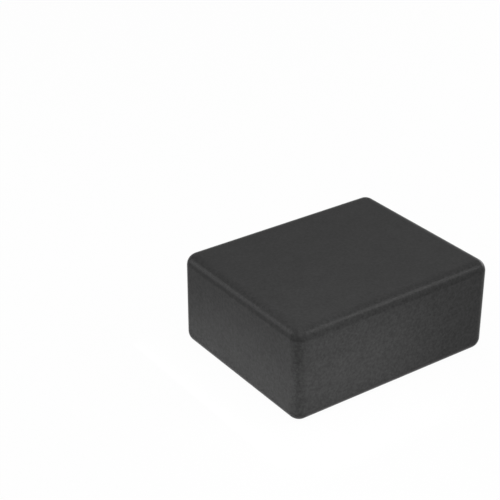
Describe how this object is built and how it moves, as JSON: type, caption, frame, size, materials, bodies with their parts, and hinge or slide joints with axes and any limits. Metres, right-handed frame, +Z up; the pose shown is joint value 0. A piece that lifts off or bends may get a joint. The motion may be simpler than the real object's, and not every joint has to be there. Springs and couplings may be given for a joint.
{
  "type": "mems oscillator",
  "caption": "Surface-mount oscillator: a dark moulded block with rounded edges, solder lands under its corners, and a chip with a stacked silicon resonator inside.",
  "frame": {"origin": "middle of the soldering plane, under the lands", "axes": "+X along the length, +Y along the width, +Z up from the board; the index land lies at -X +Y"},
  "size_m": [0.002, 0.0016, 0.0009],
  "materials": {
    "mould_compound": "satin moulded epoxy with fine filler",
    "land_plating": "matt grey plating over copper",
    "die_attach_film": "matt adhesive film",
    "chip_silicon": "polished silicon with circuit layers on top",
    "silicon": "polished silicon",
    "doped_silicon": "polished doped silicon",
    "seal_metal": "matt bond metal",
    "bond_gold": "drawn gold wire"
  },
  "bodies": {
    "root": {"mould_body": "mould_compound", "terminal_enable": "land_plating", "terminal_ground": "land_plating", "terminal_output": "land_plating", "terminal_supply": "land_plating", "ic_die_attach": "die_attach_film", "resonator_die_attach": "die_attach_film", "oscillator_ic": "chip_silicon", "resonator_base": "silicon", "resonator_cap": "silicon", "resonator_plate": "silicon", "drive_electrode_left": "doped_silicon", "drive_electrode_right": "doped_silicon", "sense_electrode_front": "doped_silicon", "sense_electrode_back": "doped_silicon", "seal_ring": "seal_metal", "wire_enable": "bond_gold", "wire_ground": "bond_gold", "wire_output": "bond_gold", "wire_supply": "bond_gold", "resonator_wire_drive": "bond_gold", "resonator_wire_sense": "bond_gold", "resonator_wire_bias": "bond_gold", "resonator_wire_guard": "bond_gold"}
  },
  "joints": []
}
